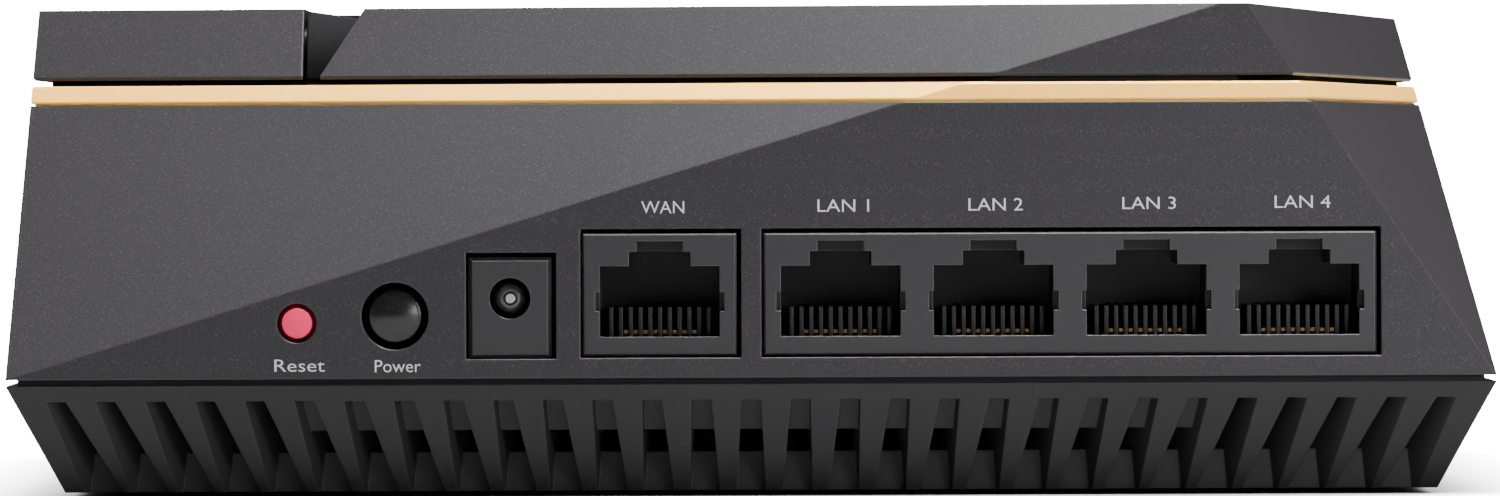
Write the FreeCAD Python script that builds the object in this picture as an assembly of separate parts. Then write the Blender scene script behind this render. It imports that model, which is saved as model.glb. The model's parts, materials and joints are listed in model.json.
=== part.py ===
import FreeCAD, Part
import math
import os

# Wireless router: a square faceted casing on a vented base, a gold band, and four antennas
# that fold flat on top. The rear side, with the sockets, faces -Y. The router stands on Z = 0.
# Each side is the rear side turned a quarter turn at a time, so the casing is a pinwheel.
# The rear and front antennas have slanted tips, and the other two square ones.

# Outline
half_width = 77.5            # half the width at the waist, the widest level
base_tuck = 5.8              # the base is this much narrower on each side at its underside
lean_dark = 0.0494           # inward lean of a socket facet, per mm of height
edge_shift = 0.6621          # inward shift of the bright edge, per mm of height
facet_end = 2.6              # length of a socket facet at the very top

# Heights, from the table upwards
foot_proud = 0.6
base_height = 11.26
waist_gap = 0.63
casing_height = 28.56
band_gap = 0.22
band_height = 1.88
antenna_gap = 0.60
lip_height = 0.31
blade_height = 7.20

# Walls and fits
casing_wall = 2.2
base_floor = 2.0
fin_depth = 4.8              # from the outer face of the base to its inner wall
inner_wall = 1.6
band_width = 0.95
band_bevel = 0.2
skin = 1.4                   # antenna shell
cheek = 1.0                  # thin tip wall that hides the next hinge post
lip_width = 1.35             # the lip under the rim of an antenna
fold_gap = 0.3               # from the deck to a folded antenna
ledge_thick = 2.0
ledge_inset = 9.0
well_wall = 1.2
well_side = 4.2              # from the hinge axis to the straight side of its well
slip = 0.1                   # gap between fixed parts that fit inside one another
running_gap = 0.35           # gap between parts that move past one another
bore_gap = 0.05              # radial gap of a shaft in its bore

# Base vents
slot_count = 29
slot_pitch_slope = 0.0674    # sideways step of a slot, per mm of distance from the centre
slot_top = 9.6               # above the underside of the base
slot_width_top = 2.05
slot_width_low = 3.1
slot_spread = 0.086          # each slot is this much wider at its foot than the one before
low_wall_inset = 0.7         # the lower inner wall stands upright, this far inside the underside
high_wall_inset = 1.4        # the upper inner wall follows the outer face
wall_gap_low = 4.1
wall_gap_high = 6.45
high_wall_slots = 9          # the upper inner wall closes this many slots each side of the middle

# Antennas and their hinges, given for the rear antenna
antenna_width = 30.35
tip_gap_low = 1.85           # from the next antenna's inner face to the slanted tip
tip_gap_top = 6.45
tip_room = 8.05              # the tip is cut square behind its cheek, this far in
hinge_inset = 7.85           # hinge axis from the inner face, along the antenna
hub_length = 4.0
axle_radius = 1.6
axle_bore = 0.9
post_depth = 7.1
lead_radius = 0.57
lead_bend = 2.2
connector_height = 1.4

# Top cover
cover_gap = 0.6
cover_top_drop = 0.5
cover_dish = 0.9
cover_skin = 1.6

# Main board and what stands on it
board_low_above_base = 12.3
board_thick = 1.6
board_inset = 11.5           # from the waist, at the left and right
board_rear_inset = 4.3
jack_recess = 0.75           # jack faces behind the waist
jack_lift = 0.3              # standoff of the network jacks above the board
pad_thick = 0.6
chip_thick = 1.7
sink_high = 13.0
sink_screw_radius = 1.0
light_count = 6
light_pitch = 6.0
light_high = 5.0             # above the board

# Network jack, one port
port_width = 12.45
port_low = 2.25              # above the board
port_high = 9.6
latch_width = 6.4
latch_high = 11.1
notch_width = 4.8
notch_high = 12.2
side_notch = 0.5
side_notch_low = 4.9
side_notch_high = 6.9
port_depth = 13.0
jack_depth = 16.2
jack_top = 13.03             # above the board
contact_pitch = 1.02
contact_count = 8
comb_slots = 10
comb_rib = 0.42
comb_high = 5.3
wan_left = -17.5
wan_wall = 1.8               # from the side of a housing to its first port
lan_left = 1.32
lan_pitch = 15.9
lan_ports = 4
cutout_left = 0.22           # gap round a network jack at its left and lower edges
cutout_right = 0.45          # gap at its right and upper edges

# Power inlet
dc_left = -29.4
dc_width = 8.7
dc_high = 10.6
dc_bore_z = 6.3              # above the board
dc_bore = 2.13
dc_pin = 0.675
dc_depth = 13.5

# Buttons
power_x = -37.0
power_z = 18.4               # above the underside of the base
power_cap = 2.8
power_gap = 0.7
power_travel = 1.5
reset_x = -47.2
reset_z = 17.7
reset_cap = 1.6
reset_gap = 0.46
reset_travel = 0.5
button_recess = 0.35         # button faces behind the waist
flange_reach = 1.1           # from the side of a button to the edge of its flange

# Fastening
column_inset_x = 20.5
column_inset_y = 22.5
column_radius = 3.0
screw_radius = 1.5
screw_head = 2.7
foot_place = 47.0
foot_radius = 7.0

base_foot_half = half_width - base_tuck
base_low = foot_proud
base_top = base_low + base_height
casing_low = base_top + waist_gap
casing_top = casing_low + casing_height
band_low = casing_top + band_gap
band_top = band_low + band_height
lip_low = band_top + antenna_gap
blade_low = lip_low + lip_height
blade_top = blade_low + blade_height
deck_top = blade_low - fold_gap
deck_low = casing_top - 3.2
board_low = base_low + board_low_above_base
board_top = board_low + board_thick
facet_shift = (2 * half_width - facet_end) / (blade_top - casing_low) - edge_shift
antenna_inner = half_width - antenna_width
cover_half = antenna_inner - cover_gap
hinge_x = antenna_inner + hinge_inset
hinge_z = blade_low + blade_height / 2
hub_end = -antenna_inner - hub_length
board_half = half_width - board_inset
board_rear = half_width - board_rear_inset
jack_face = half_width - jack_recess
wan_width = port_width + 2 * wan_wall
lan_width = wan_width + (lan_ports - 1) * lan_pitch
power_level = base_low + power_z
reset_level = base_low + reset_z
power_hole = power_cap + power_gap
reset_hole = reset_cap + reset_gap
sides = ("rear", "right", "front", "left")
up = FreeCAD.Vector(0, 0, 1)
along_y = FreeCAD.Vector(0, 1, 0)


def save(name, shape):
    shape.exportStep("parts/" + name + ".step")


def box(x0, x1, y0, y1, z0, z1):
    return Part.makeBox(x1 - x0, y1 - y0, z1 - z0, FreeCAD.Vector(x0, y0, z0))


def rod(x, y0, y1, z, radius):
    return Part.makeCylinder(radius, y1 - y0, FreeCAD.Vector(x, y0, z), along_y)


def column(x, y, z0, z1, radius):
    return Part.makeCylinder(radius, z1 - z0, FreeCAD.Vector(x, y, z0), up)


def fused(first, others):
    return first.fuse(list(others)).removeSplitter()


def turned(shape, quarter):
    copy = shape.copy()
    copy.rotate(FreeCAD.Vector(0, 0, 0), up, 90 * quarter)
    return copy


def around(shape):
    return [turned(shape, quarter) for quarter in range(4)]


def turned_point(x, y, z, quarter):
    for _ in range(quarter):
        x, y = -y, x
    return FreeCAD.Vector(x, y, z)


def polyhedron(low, high):
    # low and high are rings of the same number of points, counterclockwise from above
    rings = [list(reversed(low)), high]
    for i in range(len(low)):
        j = (i + 1) % len(low)
        rings.append([low[i], low[j], high[j], high[i]])
    faces = []
    for ring in rings:
        points = [p for p, q in zip(ring, ring[1:] + ring[:1]) if (p - q).Length > 1e-6]
        faces.append(Part.Face(Part.makePolygon(points + points[:1])))
    return Part.Solid(Part.Shell(faces))


def facet_ring(z, inset):
    # the eight corners of the casing outline at height z, moved inwards by inset
    rise = z - casing_low
    half = half_width - inset - lean_dark * rise
    start = -(half_width - inset) + facet_shift * rise
    end = half_width - inset - edge_shift * rise
    ring = []
    for quarter in range(4):
        ring.append(turned_point(start, -half, z, quarter))
        ring.append(turned_point(end, -half, z, quarter))
    return ring


def faceted(z0, z1, inset=0.0):
    return polyhedron(facet_ring(z0, inset), facet_ring(z1, inset))


def square_ring(z, half):
    return [turned_point(-half, -half, z, quarter) for quarter in range(4)]


def base_half(z):
    share = (z - base_low) / base_height
    return base_foot_half + (half_width - base_foot_half) * share


def base_block(z0, z1, inset=0.0):
    return polyhedron(square_ring(z0, base_half(z0) - inset), square_ring(z1, base_half(z1) - inset))


def prism_y(points, y0, y1):
    # a profile of (x, z) points, swept along Y
    ring = [FreeCAD.Vector(x, y0, z) for x, z in points]
    face = Part.Face(Part.makePolygon(ring + ring[:1]))
    return face.extrude(FreeCAD.Vector(0, y1 - y0, 0))


def prism_x(points, x0, x1):
    # a profile of (y, z) points, swept along X
    ring = [FreeCAD.Vector(x0, y, z) for y, z in points]
    face = Part.Face(Part.makePolygon(ring + ring[:1]))
    return face.extrude(FreeCAD.Vector(x1 - x0, 0, 0))


# Base

def vent_slot(index):
    # a slot between two fins, whose middle plane passes through the centre of the router
    far = half_width + 2
    near = base_foot_half - fin_depth - 2
    low_width = slot_width_low + slot_spread * abs(index)
    low, high = [], []
    for ring, z, width in ((low, base_low - 1, low_width), (high, base_low + slot_top, slot_width_top)):
        for distance, side in ((far, -1), (far, 1), (near, 1), (near, -1)):
            middle = index * slot_pitch_slope * distance
            ring.append(FreeCAD.Vector(middle + side * width / 2, -distance, z))
    return polyhedron(low, high)


def vent_slots():
    reach = slot_count // 2
    rear = Part.makeCompound([vent_slot(i) for i in range(-reach, reach + 1)])
    skirt = base_block(base_low, base_top).cut(base_block(base_low, base_top, fin_depth))
    rear = rear.common(skirt.cut(list(inner_walls())))
    return Part.makeCompound(around(rear))


def high_wall_half():
    return (high_wall_slots + 0.5) * slot_pitch_slope * (base_foot_half + half_width) / 2


def inner_walls():
    # behind the fins of the rear side: a low upright wall, and a high one that follows the outer face
    low_half = base_foot_half - low_wall_inset
    low = box(-low_half, low_half, -low_half, 0, base_low, base_low + wall_gap_low)
    high = base_block(base_low + wall_gap_high, base_low + slot_top, high_wall_inset)
    high = high.common(box(-high_wall_half(), high_wall_half(), -half_width, 0, 0, base_top))
    return low, high


def inner_windows():
    # the openings through the inner wall, behind the fins
    depth = half_width
    near = base_foot_half - fin_depth - inner_wall - 2
    reach = slot_count // 2 * slot_pitch_slope * base_foot_half - fin_depth
    z0 = base_low + wall_gap_low
    z1 = base_low + wall_gap_high
    z2 = base_low + slot_top
    low = box(-reach, reach, -depth, -near, z0, z1)
    left = box(-reach, -high_wall_half(), -depth, -near, z1, z2)
    right = box(high_wall_half(), reach, -depth, -near, z1, z2)
    return fused(low, [left, right])


def base_columns():
    tubes, bores = [], []
    for x, y in column_places():
        tubes.append(column(x, y, base_low, board_low, column_radius))
        bores.append(column(x, y, base_low - 1, board_low + 1, screw_radius + slip))
        bores.append(column(x, y, base_low - 1, base_low + 1.8, screw_head + slip))
    return tubes, bores


def column_places():
    places = []
    for quarter in range(4):
        point = turned_point(half_width - column_inset_x, column_inset_y - half_width, 0, quarter)
        places.append((point.x, point.y))
    return places


def vented_base():
    inner = fin_depth + inner_wall
    shell = base_block(base_low, base_top).cut(base_block(base_low + base_floor, base_top + 0.001, inner))
    window = inner_windows().common(base_block(base_low, base_top, fin_depth))
    shell = shell.cut(Part.makeCompound(around(window)))
    shell = shell.cut(vent_slots())
    seat = half_width - casing_wall + 1.0
    flange_low = base_low + slot_top
    opening = base_half(base_low + slot_top) - inner - 2.0
    flange = base_block(flange_low, base_top).cut(box(-opening, opening, -opening, opening, 0, 30))
    rim = box(-seat, seat, -seat, seat, base_top, casing_low)
    lip = faceted(casing_low, casing_low + 1.4, casing_wall + 2 * slip)
    bore = half_width - casing_wall - 1.5
    hollow = box(-bore, bore, -bore, bore, 0, 30)
    rim = rim.fuse(lip).cut(hollow)
    tubes, bores = base_columns()
    solid = fused(shell, [flange, rim] + tubes)
    recesses = [column(x, y, base_low - 1, base_low + 0.6, foot_radius + slip) for x, y in foot_places()]
    return solid.cut(bores + recesses)


def foot_places():
    return [(sx * foot_place, sy * foot_place) for sx in (-1, 1) for sy in (-1, 1)]


def rubber_feet():
    feet = []
    for x, y in foot_places():
        foot = column(x, y, 0, base_low + 0.6, foot_radius)
        feet.append(foot.makeChamfer(0.3, [edge for edge in foot.Edges if edge.BoundBox.ZMax < 0.01]))
    return Part.makeCompound(feet)


# Casing

def jack_cutout(left, width, z0, z1):
    return box(left - cutout_left, left + width + cutout_right, -half_width - 1, -half_width + 6,
               z0 - cutout_left, z1 + cutout_right)


def flange_start(z):
    # just behind the inside of the wall, at the level of the button
    return -half_width + casing_wall + lean_dark * (z - casing_low) + running_gap


def flange_room(x, z, radius):
    return rod(x, flange_start(z) - slip, -half_width + 6, z, radius + flange_reach + slip)


def rear_openings():
    jack_low = board_top + jack_lift
    openings = [
        jack_cutout(wan_left, wan_width, jack_low, board_top + jack_top),
        jack_cutout(lan_left, lan_width, jack_low, board_top + jack_top),
        jack_cutout(dc_left, dc_width, board_top + cutout_left, board_top + dc_high),
        rod(power_x, -half_width - 1, -half_width + 6, power_level, power_hole),
        rod(reset_x, -half_width - 1, -half_width + 6, reset_level, reset_hole),
        flange_room(power_x, power_level, power_cap),
        flange_room(reset_x, reset_level, reset_cap),
    ]
    return openings


def light_places():
    return [(i - (light_count - 1) / 2) * light_pitch for i in range(light_count)]


def light_windows(gap):
    # six small windows for the status lights, low on the front side
    height = board_top + light_high
    windows = []
    for x in light_places():
        windows.append(box(x - 1.1 - gap, x + 1.1 + gap, half_width - 4.2, half_width + 1,
                           height - 0.5 - gap, height + 0.5 + gap))
    return windows


def upper_casing():
    outer = faceted(casing_low, casing_top)
    hollow = faceted(casing_low, casing_top + 0.5, casing_wall)
    shell = outer.cut(hollow)
    ledge = faceted(deck_low - ledge_thick, deck_low, casing_wall)
    ledge = ledge.cut(faceted(deck_low - ledge_thick - 1, deck_low + 1, ledge_inset))
    posts, pilots = [], []
    for x, y in column_places():
        posts.append(column(x, y, board_top, deck_low, column_radius))
        pilots.append(column(x, y, board_top - 1, board_top + 12, screw_radius - 0.3))
    shell = fused(shell, [ledge] + posts)
    wells = [well.common(hollow) for well in around(hinge_well(well_wall + slip))]
    return shell.cut(pilots + rear_openings() + light_windows(0.0) + wells)


def gold_band():
    low = band_low + band_bevel
    high = band_top - band_bevel
    hoop = faceted(low, high)
    bevels = [
        polyhedron(facet_ring(band_low, band_bevel), facet_ring(low, 0.0)),
        polyhedron(facet_ring(high, 0.0), facet_ring(band_top, band_bevel)),
    ]
    foot = faceted(casing_top, band_low, 0.45)
    hoop = fused(hoop, bevels + [foot])
    return hoop.cut(faceted(casing_top - 1, band_top + 1, band_width))


# Deck under the antennas

def heel_reach():
    # the longest distance from the hinge axis to the heel, at its inner lower corner
    ring = facet_ring(blade_low, 0.0)
    bright, far = ring[1], ring[2]
    share = (-antenna_inner - bright.y) / (far.y - bright.y)
    heel = bright.x + (far.x - bright.x) * share
    return math.hypot(heel - hinge_x, blade_low - hinge_z)


def hinge_well(wall):
    # the room in which a heel swings, made larger by the wall round it
    reach = heel_reach() + running_gap + wall
    well = rod(hinge_x, -half_width, -antenna_inner + running_gap + wall, hinge_z, reach)
    return well.cut(box(-half_width, hinge_x - well_side - wall, -half_width, 0, 0, 60))


def antenna_deck():
    plate = faceted(casing_top + slip, band_top, band_width + slip)
    plate = plate.fuse(faceted(band_top - 0.5, deck_top, lip_width + running_gap))
    plate = plate.cut(faceted(casing_top - 1, band_top - 1.6, casing_wall + 2.0))
    skirt = faceted(deck_low, casing_top + slip, casing_wall + slip)
    skirt = skirt.cut(faceted(deck_low - 1, casing_top + 1, casing_wall + 2.0))
    well = hinge_well(well_wall).common(faceted(deck_low - 3, casing_top + slip, casing_wall + slip))
    deck = fused(plate, [skirt] + around(well))
    lead_hole = column(hinge_x, lead_y(), 0, 60, lead_radius + 0.5)
    screws = [column(x, y, 0, 60, screw_radius - 0.3) for x, y in cover_screw_places()]
    return deck.cut(around(hinge_well(0.0)) + around(lead_hole) + screws)


def lead_y():
    return -antenna_inner + running_gap + 3.5 + lead_bend + 0.2


def hinge_post():
    # stands beside the heel and behind the cheek of the next antenna's tip
    y0 = -antenna_inner + running_gap
    y1 = y0 + post_depth
    top = blade_top - 0.2
    profile = [(y0, deck_top), (y1, deck_top), (y1, top - 0.149 * post_depth), (y0, top)]
    body = prism_x(profile, cover_half + 0.9, half_width)
    body = body.common(faceted(deck_top, blade_top + 1, cheek + running_gap))
    bore = rod(hinge_x, y0 - 1, y0 + 3.6, hinge_z, axle_radius + bore_gap)
    bend = box(hinge_x - 0.95, hinge_x + 0.95, y0 + 3.5, lead_y() + 0.95, hinge_z - 3, hinge_z + 0.95)
    drop = column(hinge_x, lead_y(), band_top - 1, hinge_z, 0.95)
    return body.cut([bore, bend, drop])


# Top cover

def cover_screw_places():
    reach = cover_half - 6.0
    return [(sx * reach, sy * reach) for sx in (-1, 1) for sy in (-1, 1)]


def dish(low, rim, half):
    # a square block whose top dips to the middle in four flat facets
    centre = FreeCAD.Vector(0, 0, rim - cover_dish)
    corners = square_ring(rim, half)
    feet = square_ring(low, half)
    faces = [Part.Face(Part.makePolygon(list(reversed(feet)) + [feet[3]]))]
    for i in range(4):
        j = (i + 1) % 4
        faces.append(Part.Face(Part.makePolygon([corners[i], corners[j], centre, corners[i]])))
        faces.append(Part.Face(Part.makePolygon([feet[i], feet[j], corners[j], corners[i], feet[i]])))
    return Part.Solid(Part.Shell(faces))


def top_cover():
    rim = blade_top - cover_top_drop
    outer = dish(deck_top, rim, cover_half)
    inner = dish(deck_top - 1, rim - cover_skin, cover_half - cover_skin)
    bosses = [column(x, y, deck_top, rim - cover_skin, 3.0) for x, y in cover_screw_places()]
    pilots = [column(x, y, band_top - 1, band_top + 4.3, screw_radius - 0.3) for x, y in cover_screw_places()]
    return fused(outer.cut(inner), bosses).cut(pilots)


# Antennas, made for the rear side and turned to the others

def antenna_outline(gap_low, gap_top):
    blade = faceted(blade_low, blade_top)
    lip = polyhedron(facet_ring(lip_low, 0.3), facet_ring(blade_low, 0.0))
    tip_low = gap_low - antenna_inner
    tip_top = gap_top - antenna_inner
    profile = [(tip_low + 0.25, lip_low - 0.5), (tip_low, blade_low), (tip_top, blade_top + 0.01),
               (half_width, blade_top + 0.01), (half_width, lip_low - 0.5)]
    side = prism_y(profile, -half_width - 1, -antenna_inner)
    notch = box(-antenna_inner - 5, tip_square(), -half_width, 0, lip_low - 1, blade_top + 1)
    notch = notch.common(faceted(lip_low - 1, blade_top + 1, cheek))
    return blade.common(side).cut(notch), lip.common(side).cut(notch)


def tip_square():
    return tip_room - antenna_inner


def antenna_room(low, inset):
    room = faceted(low, blade_top - skin, inset)
    edge = -antenna_inner - inset
    return room.common(box(tip_square() + inset, half_width, -half_width, edge, 0, blade_top))


def antenna_cover(outline):
    blade, lip = outline
    hub_half = axle_radius + 1.2
    hub = box(hinge_x - hub_half, hinge_x + hub_half, hub_end, -antenna_inner,
              base_plate_top(), blade_top - skin)
    hub = hub.common(blade)
    rim = lip.cut(faceted(lip_low - 1, blade_low + 1, lip_width))
    cover = fused(blade.cut(antenna_room(blade_low - 1, skin)), [hub, rim])
    bore = rod(hinge_x, hub_end - 1, -antenna_inner + 1, hinge_z, axle_radius)
    return cover.cut([bore, axle_head(slip)])


def base_plate_top():
    return blade_low + 1.0


def antenna_base():
    plate = faceted(blade_low, base_plate_top(), skin + slip)
    inset = skin + slip
    plate = plate.common(box(tip_square() + inset, half_width, -half_width, -antenna_inner - inset, 0, 60))
    stands = [column(x, radiator_y(), base_plate_top(), radiator_low(), 1.6) for x in (-20.0, 10.0, 38.0)]
    return fused(plate, stands)


def radiator_low():
    return base_plate_top() + 1.2


def radiator_y():
    return -antenna_inner - 8.0


def antenna_radiator():
    y = radiator_y()
    board = box(-28.0, 48.0, y - 4.5, y + 4.5, radiator_low(), radiator_low() + 0.8)
    slots = [box(x, x + 1.5, y - 5.0, y + 2.5, 0, 60) for x in (-16.0, 2.0, 22.0)]
    return board.cut(slots)


def axle_head(gap):
    # keeps the axle in its hub
    return rod(hinge_x, hub_end - 0.8 - gap, hub_end, hinge_z, axle_radius + 0.2 + gap)


def antenna_axle():
    end = -antenna_inner + running_gap + 3.4
    axle = rod(hinge_x, hub_end, end, hinge_z, axle_radius)
    return fused(axle, [axle_head(0.0)]).cut(rod(hinge_x, hub_end - 2, end + 1, hinge_z, axle_bore))


def antenna_lead():
    # from the hollow axle, down through the post to its connector on the board
    start = FreeCAD.Vector(hinge_x, -antenna_inner + 1.0, hinge_z)
    bend = FreeCAD.Vector(hinge_x, lead_y() - lead_bend, hinge_z)
    low = FreeCAD.Vector(hinge_x, lead_y(), board_top + connector_height)
    turn = FreeCAD.Vector(hinge_x, lead_y(), hinge_z - lead_bend)
    share = lead_bend * (1 - math.sqrt(0.5))
    middle = FreeCAD.Vector(hinge_x, lead_y() - share, hinge_z - share)
    elbow = Part.Arc(bend, middle, turn).toShape()
    path = Part.Wire([Part.makeLine(start, bend), elbow, Part.makeLine(turn, low)])
    profile = Part.Wire([Part.makeCircle(lead_radius, start, along_y)])
    return path.makePipeShell([profile], True, False)


def lead_connector():
    return column(hinge_x, lead_y(), board_top, board_top + connector_height, 1.4)


# Main board

def main_board():
    board = box(-board_half, board_half, -board_rear, board_rear - 3.0, board_low, board_top)
    holes = [column(x, y, 0, 60, screw_radius + slip) for x, y in column_places()]
    pilots = [column(x, y, 0, 60, sink_screw_radius) for x, y in sink_screw_places()]
    return board.cut(holes + pilots)


def port_hollow(x, y0):
    # the plug opening of one port: the mouth, the latch step, its notch and two side notches
    z = board_top
    depth = y0 + port_depth
    parts = [
        box(x - latch_width / 2, x + latch_width / 2, y0 - 1, depth, z + port_high - 1, z + latch_high),
        box(x - notch_width / 2, x + notch_width / 2, y0 - 1, y0 + 4, z + latch_high - 1, z + notch_high),
        box(x - port_width / 2 - side_notch, x + port_width / 2 + side_notch, y0 - 1, y0 + 3,
            z + side_notch_low, z + side_notch_high),
    ]
    mouth = box(x - port_width / 2, x + port_width / 2, y0 - 1, depth, z + port_low, z + port_high)
    return mouth.fuse(parts)


def port_comb(x, y0):
    # thin ribs that keep the contacts apart, in the lower half of the opening
    ribs = []
    for i in range(comb_slots + 1):
        middle = x + (i - comb_slots / 2) * contact_pitch
        ribs.append(box(middle - comb_rib / 2, middle + comb_rib / 2, y0 + 3.2, y0 + port_depth,
                        board_top + port_low - 0.2, board_top + comb_high))
    return ribs


def jack_housing(left, width, ports):
    y0 = -jack_face
    low = board_top + jack_lift
    body = box(left, left + width, y0, y0 + jack_depth, low, board_top + jack_top)
    edges = [e for e in body.Edges if e.BoundBox.YMax < y0 + 0.01]
    body = body.makeChamfer(0.2, edges)
    body = body.cut([port_hollow(x, y0) for x in ports])
    combs = [rib for x in ports for rib in port_comb(x, y0)]
    feet = [box(x - 1.0, x + 1.0, y0 + jack_depth - 4, y0 + jack_depth - 2, board_top, low + 0.2)
            for x in (left + 2.0, left + width - 2.0)]
    return fused(body, combs + feet)


def jack_contacts(ports):
    # sprung wires that slope up from the mouth to the back
    wires = []
    y0 = -jack_face
    for x in ports:
        for i in range(contact_count):
            middle = x + (i - (contact_count - 1) / 2) * contact_pitch
            low = board_top + port_low + 0.25
            profile = [(y0 + 3.4, low), (y0 + port_depth - 0.4, low + 2.6),
                       (y0 + port_depth - 0.4, low + 3.0), (y0 + 3.4, low + 0.4)]
            wires.append(prism_x(profile, middle - 0.22, middle + 0.22))
    return Part.makeCompound(wires)


def wan_ports():
    return [wan_left + wan_width / 2]


def lan_port_places():
    return [lan_left + wan_width / 2 + i * lan_pitch for i in range(lan_ports)]


# Power inlet

def dc_bore_x():
    return dc_left + dc_width / 2


def dc_housing():
    y0 = -jack_face
    body = box(dc_left, dc_left + dc_width, y0, y0 + dc_depth, board_top, board_top + dc_high)
    edges = [e for e in body.Edges if e.BoundBox.YMax < y0 + 0.01]
    body = body.makeChamfer(0.45, edges)
    bore = rod(dc_bore_x(), y0 - 1, y0 + 10.0, board_top + dc_bore_z, dc_bore)
    spring_slot = box(dc_bore_x() - 0.9, dc_bore_x() + 0.9, y0 + 2.5, y0 + 9.5,
                      board_top + dc_bore_z - dc_bore - 0.6, board_top + dc_bore_z - 1.2)
    return body.cut([bore, spring_slot])


def dc_centre_pin():
    y0 = -jack_face + 1.2
    pin = rod(dc_bore_x(), y0, -jack_face + 10.0, board_top + dc_bore_z, dc_pin)
    return pin.makeChamfer(0.2, [e for e in pin.Edges if e.BoundBox.YMax < y0 + 0.01])


def dc_spring():
    low = board_top + dc_bore_z - dc_bore - 0.55
    y0 = -jack_face
    profile = [(y0 + 2.7, low), (y0 + 9.4, low), (y0 + 9.4, low + 0.3)]
    profile += [(y0 + 6.0, low + 0.7), (y0 + 2.7, low + 0.3)]
    return prism_x(profile, dc_bore_x() - 0.8, dc_bore_x() + 0.8)


# Buttons and their switches

def button(x, z, radius, stem_end, dome):
    face = button_recess - half_width
    flange0 = flange_start(z)
    cap = rod(x, face + dome, flange0 + 1.0, z, radius)
    front = Part.makeCone(radius - dome * 1.6, radius, dome, FreeCAD.Vector(x, face, z), along_y)
    flange = rod(x, flange0, flange0 + 1.0, z, radius + flange_reach)
    stem = box(x - 1.0, x + 1.0, flange0 + 1.0, stem_end, z - 1.0, z + 1.0)
    return fused(cap, [front, flange, stem])


def switch_body(x, z, stem_end, travel, half, depth):
    # the stem runs in a pocket with room for its travel
    front = stem_end - half
    reach = 1.0 + running_gap
    body = box(x - half, x + half, front, front + depth, board_top, z + half)
    pocket = box(x - reach, x + reach, front - 1, stem_end + travel + running_gap, z - reach, z + reach)
    return body.cut(pocket)


# Parts on the board

def heat_sink():
    low = chip_top() + pad_thick
    plate = box(-44.0, 44.0, -34.0, 46.0, low, low + 2.5)
    fins = [box(-44.0 + i * 5.0, -42.8 + i * 5.0, -34.0, 46.0, low + 2.5, low + sink_high) for i in range(18)]
    legs = [column(x, y, board_top, low, 2.0) for x, y in sink_screw_places()]
    bores = [column(x, y, 0, low + 6.0, sink_screw_radius + slip) for x, y in sink_screw_places()]
    wells = [column(x, y, low + 2.5, 60, 3.4) for x, y in sink_screw_places()]
    return fused(plate, fins + legs).cut(wells + bores)


def sink_screw_places():
    return [(-40.0, -30.0), (40.0, -30.0), (-40.0, 42.0), (40.0, 42.0)]


def sink_screws():
    low = chip_top() + pad_thick + 2.5
    screws = []
    for x, y in sink_screw_places():
        shank = column(x, y, board_low, low, sink_screw_radius)
        screws.append(fused(shank, [column(x, y, low, low + 1.4, 2.1)]))
    return Part.makeCompound(screws)


def chip_top():
    return board_top + chip_thick


def block_on_board(x, y, width, depth, height):
    return box(x - width / 2, x + width / 2, y - depth / 2, y + depth / 2, board_top, board_top + height)


def processor():
    return block_on_board(0.0, 12.0, 19.0, 19.0, chip_thick)


def memory_chips():
    return Part.makeCompound([block_on_board(x, 34.0, 9.0, 12.0, 1.1) for x in (-8.0, 8.0)])


def network_switch_chip():
    return block_on_board(30.0, -24.0, 14.0, 14.0, 1.2)


def shield_can(x, y, width, depth):
    can = block_on_board(x, y, width, depth, chip_thick)
    return can.cut(block_on_board(x, y, width - 0.5, depth - 0.5, chip_thick - 0.25))


def shield_places():
    return [(-27.0, 10.0, 26.0, 34.0), (27.0, 12.0, 26.0, 34.0), (-2.0, -16.0, 34.0, 22.0)]


def shield_cans():
    return Part.makeCompound([shield_can(*place) for place in shield_places()])


def radio_chips():
    return Part.makeCompound([block_on_board(x, y, 10.0, 10.0, 0.9) for x, y, _, _ in shield_places()])


def thermal_pads():
    spots = [(0.0, 12.0, 18.0, 18.0)] + [(x, y, w - 4, d - 4) for x, y, w, d in shield_places()]
    pads = [box(x - w / 2, x + w / 2, y - d / 2, y + d / 2, chip_top(), chip_top() + pad_thick)
            for x, y, w, d in spots]
    return Part.makeCompound(pads)


def magnetics():
    lan = lan_port_places()
    spots = [(wan_ports()[0], 15.0), ((lan[0] + lan[1]) / 2, 22.0), (lan[2], 22.0)]
    y = -jack_face + jack_depth + 6.5
    return Part.makeCompound([block_on_board(x, y, width, 7.0, 4.5) for x, width in spots])


def capacitors():
    rear = -jack_face + 22.75
    cans = [column(x, rear, board_top, board_top + 8.0, 3.1) for x in (dc_left - 1.6, dc_left + 6.4)]
    cans += [column(10.0 - board_half, y, board_top, board_top + 8.0, 3.1) for y in (-30.0, -20.0)]
    return Part.makeCompound(cans)


def inductors():
    return Part.makeCompound([block_on_board(9.0 - board_half, y, 8.0, 8.0, 4.0) for y in (-8.0, 3.0, 14.0)])


def status_lights():
    y = board_rear - 5.5
    return Part.makeCompound([block_on_board(x, y, 1.6, 1.2, 0.8) for x in light_places()])


def light_guide():
    low = board_top + light_high - 1.0
    reach = light_places()[-1] + 2.0
    wall_inside = half_width - casing_wall - lean_dark * (low + 3.0 - casing_low)
    bar = box(-reach, reach, wall_inside - 6.0, wall_inside - 0.1, low, low + 2.0)
    nubs = [window.common(faceted(casing_low, casing_top, 0.15)) for window in light_windows(-0.1)]
    nubs = [nub.common(box(-reach, reach, wall_inside - 1.0, half_width, low, low + 2.0)) for nub in nubs]
    places = (-reach + 1, reach - 1)
    legs = [box(x - 1.0, x + 1.0, wall_inside - 6.0, wall_inside - 4.5, board_top, low) for x in places]
    return fused(bar, nubs + legs)


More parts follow.
